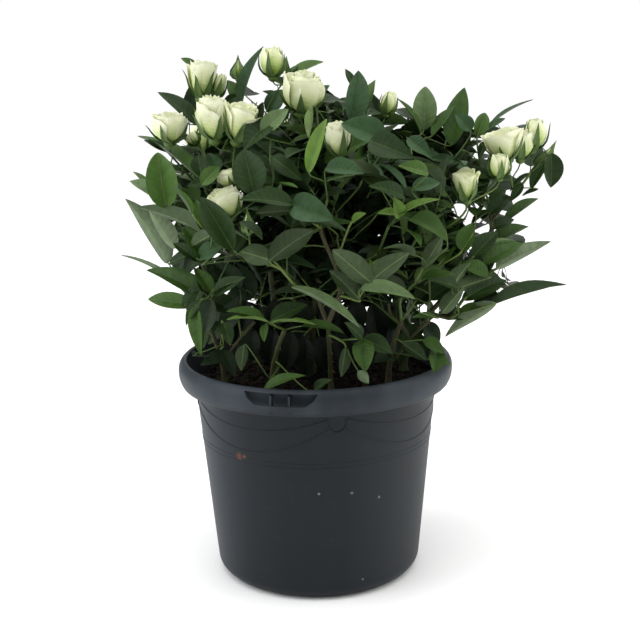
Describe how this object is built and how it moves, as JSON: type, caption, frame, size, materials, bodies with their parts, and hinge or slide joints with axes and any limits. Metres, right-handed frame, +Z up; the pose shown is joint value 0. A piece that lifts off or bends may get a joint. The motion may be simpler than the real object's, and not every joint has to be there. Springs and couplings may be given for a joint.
{
  "type": "potted rose bush",
  "caption": "Low bushy rose with cream blooms and dense dark green leaves, its canes rising from compost in a tapered dark plastic pot with a rolled rim.",
  "frame": {"origin": "centre of the pot's flat underside, which stands on the ground", "axes": "+Z up the pot's axis, -Y towards the side that is seen first, +X to that viewer's right"},
  "size_m": [0.3456, 0.293, 0.4207],
  "materials": {
    "pot_plastic": "satin",
    "compost": "matte",
    "cane_bark": "matte",
    "foliage": "matte",
    "bloom_spray": "matte"
  },
  "bodies": {
    "root": {"pot": "pot_plastic", "compost": "compost", "cane_left": "cane_bark", "cane_front_left": "cane_bark", "cane_front": "cane_bark", "cane_front_right": "cane_bark", "cane_right": "cane_bark", "cane_centre": "cane_bark", "cane_centre_left": "cane_bark", "cane_back_right": "cane_bark", "cane_back": "cane_bark", "cane_back_left": "cane_bark", "bough_left": "cane_bark", "bough_right": "cane_bark", "bough_back": "cane_bark", "foliage_low_left": "foliage", "foliage_low_front": "foliage", "foliage_low_right": "foliage", "foliage_low_back": "foliage", "foliage_core": "foliage", "foliage_left": "foliage", "foliage_front_left": "foliage", "foliage_front": "foliage", "foliage_front_right": "foliage", "foliage_right": "foliage", "foliage_top": "foliage", "foliage_back_left": "foliage", "foliage_back": "foliage", "foliage_back_right": "foliage", "bloom_spray_left": "bloom_spray", "bloom_spray_centre": "bloom_spray", "bloom_spray_right": "bloom_spray"}
  },
  "joints": []
}
